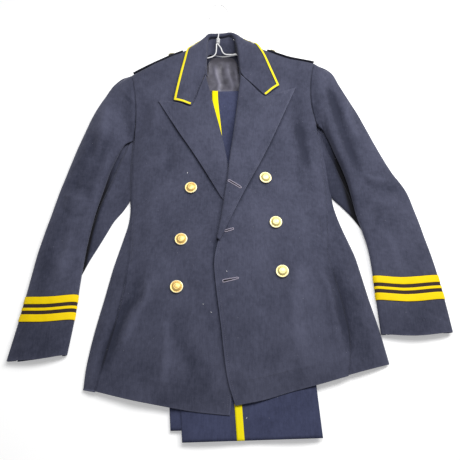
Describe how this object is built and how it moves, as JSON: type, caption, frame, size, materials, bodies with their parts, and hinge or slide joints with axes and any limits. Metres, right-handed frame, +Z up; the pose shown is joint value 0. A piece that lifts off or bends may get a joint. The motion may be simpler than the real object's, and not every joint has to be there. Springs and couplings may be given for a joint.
{
  "type": "double-breasted dress uniform on a wire hanger",
  "caption": "Navy wool double-breasted dress coat with peak lapels, yellow braid and gilt buttons, laid flat on a wire hanger with striped trousers folded inside.",
  "frame": {"origin": "centre of the bounding box's underside, on the surface that the uniform lies on", "axes": "+Z up from that surface, +Y along the coat from the hem to the collar, +X to the right of a viewer who faces the coat's front"},
  "size_m": [0.812, 0.9366, 0.0648],
  "materials": {
    "back_left": "napped wool",
    "back_neck_lining": "satin",
    "back_right": "napped wool",
    "button_left_1": "gilt",
    "button_left_2": "gilt",
    "button_left_3": "gilt",
    "button_right_1": "gilt",
    "button_right_2": "gilt",
    "button_right_3": "gilt",
    "collar": "napped wool",
    "collar_braid_left": "woven braid",
    "collar_braid_right": "woven braid",
    "collar_stand": "napped wool",
    "cuff_braid_left_1": "woven braid",
    "cuff_braid_left_2": "woven braid",
    "cuff_braid_left_3": "woven braid",
    "cuff_braid_right_1": "woven braid",
    "cuff_braid_right_2": "woven braid",
    "cuff_braid_right_3": "woven braid",
    "front_left": "napped wool",
    "front_right": "napped wool",
    "hanger_wire": "white coated",
    "lapel_left": "napped wool",
    "lapel_right": "napped wool",
    "shoulder_strap_left": "napped wool",
    "shoulder_strap_right": "napped wool",
    "side_left": "napped wool",
    "side_right": "napped wool",
    "sleeve_top_left": "napped wool",
    "sleeve_top_right": "napped wool",
    "sleeve_under_left": "napped wool",
    "sleeve_under_right": "napped wool",
    "strap_button_left": "gilt",
    "strap_button_right": "gilt",
    "trouser_leg_lower": "fine twill",
    "trouser_leg_upper": "fine twill",
    "trouser_stripe": "woven braid",
    "trouser_waist_half": "fine twill"
  },
  "bodies": {
    "root": {"back_left": "back_left", "back_neck_lining": "back_neck_lining", "back_right": "back_right", "button_left_1": "button_left_1", "button_left_2": "button_left_2", "button_left_3": "button_left_3", "button_right_1": "button_right_1", "button_right_2": "button_right_2", "button_right_3": "button_right_3", "collar": "collar", "collar_braid_left": "collar_braid_left", "collar_braid_right": "collar_braid_right", "collar_stand": "collar_stand", "cuff_braid_left_1": "cuff_braid_left_1", "cuff_braid_left_2": "cuff_braid_left_2", "cuff_braid_left_3": "cuff_braid_left_3", "cuff_braid_right_1": "cuff_braid_right_1", "cuff_braid_right_2": "cuff_braid_right_2", "cuff_braid_right_3": "cuff_braid_right_3", "front_left": "front_left", "front_right": "front_right", "hanger_wire": "hanger_wire", "lapel_left": "lapel_left", "lapel_right": "lapel_right", "shoulder_strap_left": "shoulder_strap_left", "shoulder_strap_right": "shoulder_strap_right", "side_left": "side_left", "side_right": "side_right", "sleeve_top_left": "sleeve_top_left", "sleeve_top_right": "sleeve_top_right", "sleeve_under_left": "sleeve_under_left", "sleeve_under_right": "sleeve_under_right", "strap_button_left": "strap_button_left", "strap_button_right": "strap_button_right", "trouser_leg_lower": "trouser_leg_lower", "trouser_leg_upper": "trouser_leg_upper", "trouser_stripe": "trouser_stripe", "trouser_waist_half": "trouser_waist_half"}
  },
  "joints": []
}
